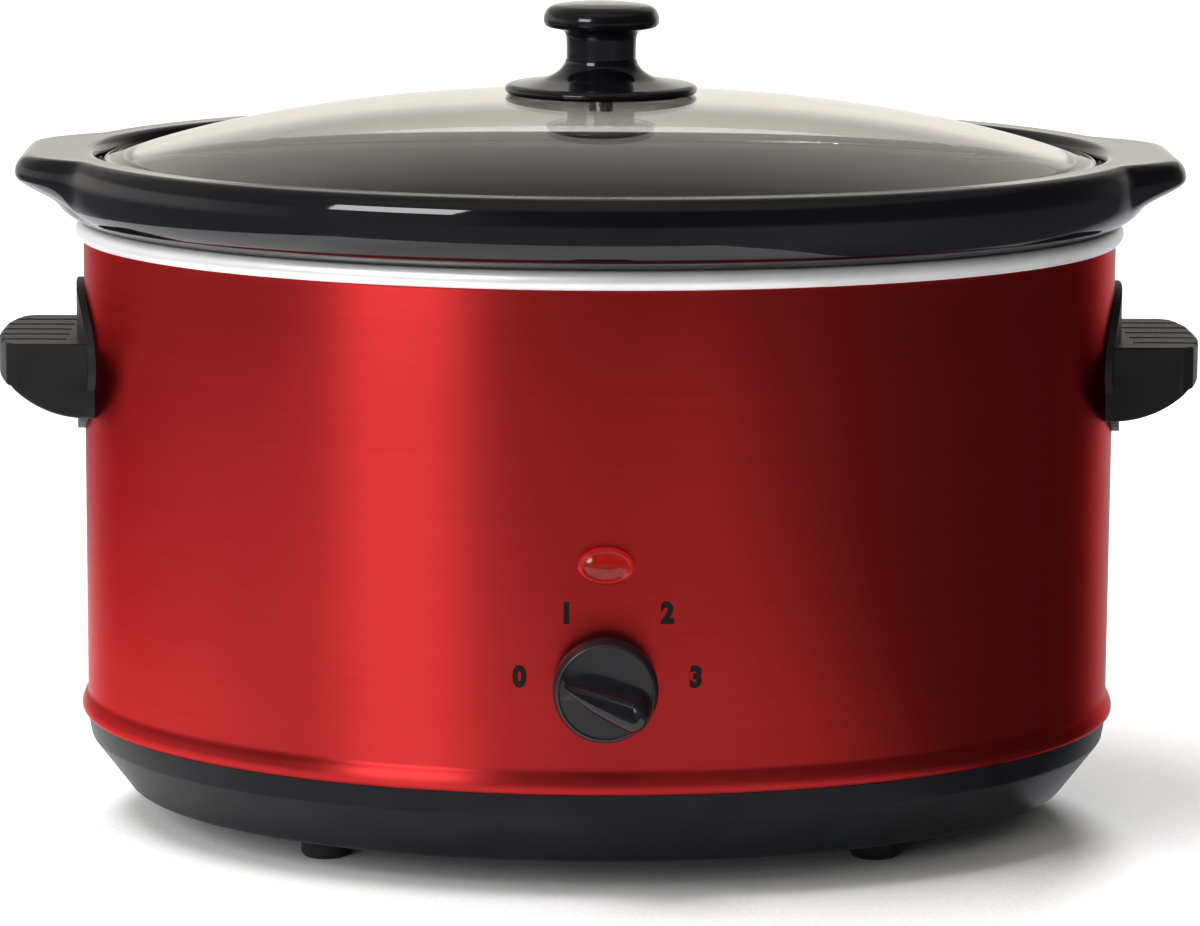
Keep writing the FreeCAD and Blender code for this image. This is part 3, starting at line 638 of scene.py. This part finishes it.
def make_knob_foot():
    """Flange and neck of the lid knob."""
    low = places("lid_knob_base")[0].z
    seat = places("lid_knob")[0].z
    profile = rounded([
        corner(KNOB_HOLE, low + 1.1, 0), corner(20, low + 1.1, 3), corner(30, low + 0.2, 2),
        corner(34.4, low, 1), corner(35.7, low + 1.0), corner(35.7, low + 2.6), corner(34.2, low + 3.6, 1.4),
        corner(28, low + 4.4, 3), corner(20, low + 5.8), corner(15.6, low + 8.4), corner(13.6, low + 11, 2),
        corner(13.3, seat, 0.3), corner(KNOB_HOLE, seat, 0),
    ], True)
    return ring_piece("knob_foot", turned_rings(profile), ROUND, True)


def make_knob_cap():
    """Mushroom cap of the lid knob."""
    low = places("lid_knob")[0].z
    high = places("lid_knob")[1].z
    profile = rounded([
        corner(2, low), corner(12.9, low, 0.4), corner(12.9, low + 6.0, 2), corner(13.3, low + 10.4),
        corner(17.4, low + 11.6), corner(21.0, low + 12.3), corner(21.7, low + 15.2),
        corner(20.4, high - 2.7), corner(18.0, high - 1.3), corner(12, high - 0.4), corner(0.5, high),
    ])
    return ring_piece("knob_cap", turned_rings(profile), ROUND)


# ---- dial ----
def turned_to_front(piece, y, z):
    """Turns a piece made about Z so that its top faces the front, with its back at y and its axis at z."""
    to_place = Matrix.Translation(Vector((0, y, z)) * MM)
    piece.data.transform(to_place @ Matrix.Rotation(math.pi / 2, 4, "X"))
    return piece


WING_EDGE = [                   # outline of the wing's foot on the knob's face, seen from the front
    (-15.0, 5.2), (-13.4, 1.4), (-7.1, -4.9), (-0.8, -9.0), (5.5, -12.6), (9.4, -13.9), (13.4, -12.0),
    (15.7, -7.6), (15.9, -3.6), (13.4, 0.4), (6.4, 3.4), (-1.2, 5.8), (-7.8, 6.7), (-13.0, 5.9),
]
WING_RIDGE = [(-14.2, 5.0), (-6.0, 2.6), (1.6, -0.4), (9.4, -2.9)]
WING_FILLET = 0.6               # height of the soft join between the wing and the face
WING_STEPS = 16                 # steps from the wing's outline to its ridge
WING_SPACING = 1.4              # power that packs those steps closer near the outline
WING_REACH = 0.96               # how far they go towards the ridge line, as a share
WING_CREST = 0.52               # where the bulge below the ridge is highest, from outline to ridge
WING_HEIGHT = 10.3              # how far the wing stands out in front of the knob's rim
WING_DIP = 0.13                 # how far the ridge lies below that crest, as a share of the height
WING_FLANK = 1.25               # power of the flank's curve above the ridge
WING_TURN = 0.6                 # how far the change round the ridge's ends spreads to each side
FACE_DEPTH = 0.5                # how far the knob's face lies behind its rim


def smooth_loop(points, per_span=8):
    """Closed Catmull-Rom curve through the given points."""
    made = []
    count = len(points)
    for k in range(count):
        p0, p1, p2, p3 = (Vector(points[(k + j) % count]) for j in (-1, 0, 1, 2))
        for step in range(per_span):
            t = step / per_span
            made.append(0.5 * (2 * p1 + (p2 - p0) * t + (2 * p0 - 5 * p1 + 4 * p2 - p3) * t * t
                               + (3 * p1 - p0 - 3 * p2 + p3) * t ** 3))
    return made


def nearest_on_ridge(point):
    """Point of the wing's ridge line that is closest to the given point."""
    best = None
    for start, end in zip(WING_RIDGE, WING_RIDGE[1:]):
        start, end = Vector(start), Vector(end)
        run = end - start
        share = max(0.0, min(1.0, (point - start).dot(run) / run.dot(run)))
        found = start + run * share
        if best is None or (found - point).length < (best - point).length:
            best = found
    return best


def wing_rise(t, below):
    """Height share at t of the way from outline to ridge: a bulge below the ridge, a flank above it."""
    if t < WING_CREST:
        bulge = math.sqrt(1 - (1 - t / WING_CREST) ** 2)
    else:
        bulge = 1 - WING_DIP * ((t - WING_CREST) / (1 - WING_CREST)) ** 2
    flank = (1 - WING_DIP) * (1 - (1 - t) ** WING_FLANK)
    return flank + (bulge - flank) * below


def share_below(point, on_ridge):
    """1 for outline points below the ridge, 0 for points above it, and a smooth change round its ends."""
    start, end = Vector(WING_RIDGE[0]), Vector(WING_RIDGE[-1])
    along = (end - start).normalized()
    upward = Vector((-along.y, along.x))
    lean = (on_ridge - point).normalized().dot(upward)
    share = max(0.0, min(1.0, (lean + WING_TURN) / (2 * WING_TURN)))
    return share * share * (3 - 2 * share)


def make_dial():
    """Knob body turned about its axis, with the finger wing built up from outline to ridge."""
    back = -dial_high.y
    depth = -dial_low.y - back
    rim = depth - WING_HEIGHT
    foot = rim - FACE_DEPTH
    body = rounded([
        corner(15.5, 0, 0.2), corner(18.5, 0, 0.4), corner(18.5, rim - 3.2, 0.6),
        corner(17.4, rim - 0.5, 0.3), corner(16.6, rim, 0.3), corner(16.2, rim - 0.4, 0.3),
        corner(8, foot, 0), corner(3.1, foot, 0), corner(3.1, rim - 4.5, 0), corner(15.5, rim - 4.5, 0.4),
    ], True)
    dial = ring_piece("control_dial", turned_rings(body), ROUND, True)
    outline = smooth_loop(WING_EDGE)
    ridge = [nearest_on_ridge(p) for p in outline]
    start = foot + WING_FILLET
    levels = [(-0.9, foot - 1.0), (-0.75, foot + 0.02), (-0.3, foot + 0.16), (0.0, start)]
    points = []
    for flare, z in levels:
        for p, q in zip(outline, ridge):
            spot = p + (q - p).normalized() * flare
            points.append((spot.x, spot.y, z))
    for k in range(1, WING_STEPS + 1):
        t = (k / WING_STEPS) ** WING_SPACING
        for p, q in zip(outline, ridge):
            spot = p + (q - p) * (WING_REACH * t)
            rise = wing_rise(t, share_below(p, q))
            points.append((spot.x, spot.y, start + (depth - start) * rise))
    count = len(outline)
    last = len(points) // count - 1
    faces = [tuple(reversed(range(count))), tuple(range(last * count, (last + 1) * count))]
    for k in range(last):
        low = k * count
        high = low + count
        for j in range(count):
            after = (j + 1) % count
            faces.append((low + j, low + after, high + after, high + j))
    wing = piece_from("wing", points, faces)
    combine(dial, wing, "UNION")
    for side in dial.data.polygons:
        side.use_smooth = abs(side.normal.z) < 0.999
    return turned_to_front(dial, dial_high.y, DIAL_Z)


LENS_PROUD = 2.8                # how far the lens stands out in front of its seat


def make_lens():
    """Oval lens: a raised rim round a shallow crown."""
    half_x = lens_high.x
    half_z = (lens_high.z - lens_low.z) / 2
    front = -lens_low.y + lens_high.y
    seat = front - LENS_PROUD

    def ring(inset, z):
        return (half_x - inset, half_z - inset, z, 0)

    profile = rounded([
        corner(2.0, 0, 0.3), corner(2.0, seat, 0), corner(0.0, seat, 0.3), corner(0.0, seat + 1.2, 0.6),
        corner(1.0, seat + 2.2, 0.5), corner(1.7, seat + 2.1, 0.3), corner(2.1, seat + 1.5, 0.3),
        corner(3.6, seat + 2.3), corner(5.6, front), corner(6.4, front),
    ])
    lens = ring_piece("lamp_lens", [ring(inset, z) for inset, z, _ in profile], ROUND)
    return turned_to_front(lens, lens_high.y, LENS_Z)


# ---- printed marks ----
MARK_HEIGHT = 7.2
MARK_WEIGHT = 0.60              # how far the font's strokes are thickened
MARK_NARROWING = 0.90
FONT_SIZE = 1.38                # size of the font for digits one millimetre high
# place of each digit, across and up from the knob's axis
MARKS = {"0": (-30.0, 3.2), "1": (-13.7, 26.2), "2": (21.6, 26.2), "3": (31.8, 3.2)}
INK = 0.06                      # how far the ink stands out from the wall
INK_ROOT = 0.02                 # how far its film reaches into the wall


def wall_front(x):
    """Y of the housing wall's front at the given x."""
    return -HALF_Y * math.sqrt(1 - (x / HALF_X) ** 2)


def make_mark(digit, across, up):
    """One printed digit, laid on the curved wall as a thin film of ink."""
    text = bpy.data.curves.new("mark_" + digit, "FONT")
    text.body = digit
    text.align_x = "CENTER"
    text.align_y = "CENTER"
    text.size = MARK_HEIGHT * FONT_SIZE
    text.offset = MARK_WEIGHT
    text.resolution_u = 6
    drawn = bpy.data.objects.new("drawn", text)
    bpy.context.scene.collection.objects.link(drawn)
    flat = bpy.data.meshes.new_from_object(drawn.evaluated_get(bpy.context.evaluated_depsgraph_get()))
    bpy.data.objects.remove(drawn)
    outline = bmesh.new()
    outline.from_mesh(flat)
    bmesh.ops.remove_doubles(outline, verts=outline.verts, dist=1e-4)
    bmesh.ops.triangulate(outline, faces=outline.faces)
    film = bmesh.ops.extrude_face_region(outline, geom=outline.faces[:])
    raised = {v for v in film["geom"] if isinstance(v, bmesh.types.BMVert)}
    for vertex in outline.verts:
        x = vertex.co.x * MARK_NARROWING + across
        z = vertex.co.y + up + DIAL_Z
        proud = INK if vertex in raised else -INK_ROOT
        vertex.co = Vector((x, wall_front(x) - proud, z)) * MM
    outline.to_mesh(flat)
    outline.free()
    mark = bpy.data.objects.new("mark_" + digit, flat)
    bpy.context.scene.collection.objects.link(mark)
    finish_mesh(mark)
    flat.materials.clear()
    flat.materials.append(FINISHES["label_ink"])
    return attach(mark, "housing")


# ---- stage, light and camera ----
NEAR_FLOOR = ((-0.50, -0.50), (0.17, 0.50))  # corners of the part of the floor that the cooker mirrors


def floor_finish():
    """Matt white paper."""
    f = Finish("floor_paper", Roughness=0.8, Specular_IOR_Level=0.0)
    fibre = f.noise(2.2, 4)
    f.drive("Base Color", f.tint(fibre, (0.90, 0.90, 0.905), (0.95, 0.95, 0.955)))
    f.drive("Normal", f.bump(fibre, 0.15))
    return f.material


def make_floor():
    """White paper: a near sheet, and the rest of the floor round it, which the cooker doesn't mirror."""
    paper = floor_finish()
    (left, front), (right, back) = NEAR_FLOOR
    far = 14.0
    inner = [(left, front, 0), (right, front, 0), (right, back, 0), (left, back, 0)]
    outer = [(-far, -far, 0), (far, -far, 0), (far, far, 0), (-far, far, 0)]
    round_it = [(k, (k + 1) % 4, 4 + (k + 1) % 4, 4 + k) for k in range(4)]
    sheets = (("floor", inner, [(0, 1, 2, 3)]), ("floor_round_it", outer + inner, round_it))
    for name, points, faces in sheets:
        mesh = bpy.data.meshes.new(name)
        mesh.from_pydata(points, [], faces)
        floor = bpy.data.objects.new(name, mesh)
        bpy.context.scene.collection.objects.link(floor)
        mesh.materials.append(paper)
        floor.visible_glossy = name == "floor"


COOL = (0.97, 0.98, 1.04)       # tint of the studio below eye level, and of the rest
WARM = (1.0, 0.965, 0.90)
# degrees from the front (left is negative); brightness below, at, above and high above eye level
AROUND = [
    (-180, 0.90, 0.97, 0.50, 0.24), (-150, 0.80, 0.75, 0.45, 0.24), (-128, 0.20, 0.80, 0.40, 0.24),
    (-108, 0.20, 0.80, 0.28, 0.24), (-84, 0.22, 0.75, 0.22, 0.20), (-70, 0.20, 0.45, 0.20, 0.18),
    (-52, 0.22, 0.22, 0.18, 0.30), (-45, 0.28, 0.26, 0.20, 0.32), (-24, 0.28, 0.22, 0.16, 0.32),
    (-14, 0.26, 0.08, 0.06, 0.32), (5, 0.22, 0.04, 0.03, 0.32),
    (25, 0.28, 0.05, 0.04, 0.30), (37, 0.33, 0.06, 0.05, 0.30), (50, 0.25, 0.05, 0.05, 0.26),
    (70, 0.18, 0.05, 0.05, 0.20), (105, 0.12, 0.05, 0.04, 0.16), (128, 0.09, 0.15, 0.10, 0.16),
    (146, 0.80, 1.00, 0.40, 0.24), (180, 0.90, 0.97, 0.50, 0.24),
]


def make_world():
    """Studio round the cooker: brightness by direction, and plain white where the camera sees it."""
    world = bpy.data.worlds.new("studio")
    bpy.context.scene.world = world
    world.use_nodes = True
    tree = world.node_tree
    tree.nodes.clear()

    def node(kind, **settings):
        made = tree.nodes.new(kind)
        for key, value in settings.items():
            setattr(made, key, value)
        return made

    def math_node(operation, *values):
        made = node("ShaderNodeMath", operation=operation)
        for slot, value in zip(made.inputs, values):
            if isinstance(value, (int, float)):
                slot.default_value = value
            else:
                tree.links.new(value, slot)
        return made.outputs["Value"]

    split = node("ShaderNodeSeparateXYZ")
    tree.links.new(node("ShaderNodeTexCoord").outputs["Generated"], split.inputs["Vector"])
    x, y, z = split.outputs
    turn = math_node("ARCTAN2", x, math_node("MULTIPLY", y, -1))
    share = math_node("MULTIPLY_ADD", turn, 1 / (2 * math.pi), 0.5)
    ramps = []
    for column in (1, 2, 3, 4):
        ramp = node("ShaderNodeValToRGB")
        tree.links.new(share, ramp.inputs["Fac"])
        stops = ramp.color_ramp.elements
        for stop in AROUND:
            place = stop[0] / 360 + 0.5
            made = stops.new(place) if 0 < place < 1 else stops[0 if place == 0 else -1]
            made.color = [stop[column] * tone for tone in (COOL if column == 1 else WARM)] + [1]
        ramps.append(ramp.outputs["Color"])

    def blend(low, high, start, end, value):
        """low below `start`, high above `end`."""
        step = node("ShaderNodeMapRange", interpolation_type="SMOOTHSTEP")
        step.inputs["From Min"].default_value = math.sin(math.radians(start))
        step.inputs["From Max"].default_value = math.sin(math.radians(end))
        tree.links.new(value, step.inputs["Value"])
        mix = node("ShaderNodeMix", data_type="RGBA")
        tree.links.new(step.outputs["Result"], mix.inputs["Factor"])
        tree.links.new(low, mix.inputs["A"])
        tree.links.new(high, mix.inputs["B"])
        return mix.outputs["Result"]

    walls = blend(ramps[0], ramps[1], -8, 0, z)
    upper = blend(walls, ramps[2], 10, 18, z)
    studio = blend(upper, ramps[3], 32, 48, z)
    reflected = node("ShaderNodeBackground")
    tree.links.new(studio, reflected.inputs["Color"])
    white = node("ShaderNodeBackground")
    white.inputs["Color"].default_value = (1, 1, 1, 1)
    mix = node("ShaderNodeMixShader")
    tree.links.new(node("ShaderNodeLightPath").outputs["Is Camera Ray"], mix.inputs["Fac"])
    tree.links.new(reflected.outputs["Background"], mix.inputs[1])
    tree.links.new(white.outputs["Background"], mix.inputs[2])
    tree.links.new(mix.outputs["Shader"], node("ShaderNodeOutputWorld").inputs["Surface"])


def aim(thing, place, target):
    """Puts a light at a place and points it at a target."""
    thing.location = place
    thing.rotation_mode = "QUATERNION"
    thing.rotation_quaternion = (Vector(target) - Vector(place)).to_track_quat("-Z", "Y")


MIDDLE = (0, 0, 0.15)           # middle of the cooker, in metres


def area_light(name, width, height, energy, turn, rise, distance):
    """Rectangular light, turned to the left of the front by -turn degrees and raised by rise degrees."""
    data = bpy.data.lights.new(name, "AREA")
    data.shape = "RECTANGLE"
    data.size = width
    data.size_y = height
    data.energy = energy
    light = bpy.data.objects.new(name, data)
    bpy.context.scene.collection.objects.link(light)
    turn = math.radians(turn)
    rise = math.radians(rise)
    way = Vector((math.sin(turn) * math.cos(rise), -math.cos(turn) * math.cos(rise), math.sin(rise)))
    aim(light, way * distance, MIDDLE)
    return light


def sun_light(name, energy, spread, way):
    """Soft light from far away. It isn't mirrored in gloss or seen through glass."""
    data = bpy.data.lights.new(name, "SUN")
    data.energy = energy
    data.angle = math.radians(spread)
    light = bpy.data.objects.new(name, data)
    bpy.context.scene.collection.objects.link(light)
    aim(light, way, (0, 0, 0))
    light.visible_glossy = False
    light.visible_transmission = False
    return light


def make_lights():
    """Soft suns for the floor and its shadow, the softbox that the red wall mirrors, and a low fill."""
    sun_light("overhead_light", 0.3, 130, (-0.1, 0.1, 2.0))
    sun_light("window_light", 2.1, 30, (-0.42, -0.10, 1.30))
    sun_light("left_light", 1.5, 40, (-0.82, -0.24, 0.50))
    sun_light("back_light", 3.0, 20, (0.10, 0.85, 0.50))
    area_light("softbox", 0.74, 0.56, 11.3, -36, 29, 2.0).visible_diffuse = False
    area_light("fill", 1.2, 1.0, 17, -30, 11, 2.2).visible_glossy = False


def make_camera():
    """Camera in front of the cooker, a little above its lid and a hair to the left."""
    lens = bpy.data.cameras.new("camera")
    lens.sensor_width = 36
    lens.lens = 154.06
    lens.clip_end = 60
    camera = bpy.data.objects.new("camera", lens)
    bpy.context.scene.collection.objects.link(camera)
    camera.location = (-0.036, -1.9, 0.4659)
    aimed = Euler([math.radians(a) for a in (90 - 10.0, 0, -1.1)])
    camera.rotation_mode = "QUATERNION"
    camera.rotation_quaternion = aimed.to_quaternion() @ Quaternion((0, 0, 1), 0.0063)
    bpy.context.scene.camera = camera


# ---- the whole object ----
make_camera()
for row in frame["record"]["subparts"]:
    dress(frame["nodes"][row["node"]], row["material_slot"])
stand_for(make_wrap(), "housing_wrap", "red_lacquered_steel")
stand_for(make_liner(), "liner_pot", "liner_aluminium")
stand_for(make_base(), "base_pan", "base_plastic")
stand_for(make_crock(), "crock", "crock_ceramic")
stand_for(make_dome(), "lid_glass", "lid_glass")
stand_for(make_knob_foot(), "lid_knob_base", "knob_plastic")
stand_for(make_knob_cap(), "lid_knob", "knob_plastic")
stand_for(make_dial(), "control_knob", "knob_plastic", "dial_plastic")
stand_for(make_lens(), "indicator_lens", "lens_plastic")
for digit, (across, up) in MARKS.items():
    make_mark(digit, across, up)
make_floor()
make_world()
make_lights()
bpy.context.scene.view_settings.view_transform = "Standard"
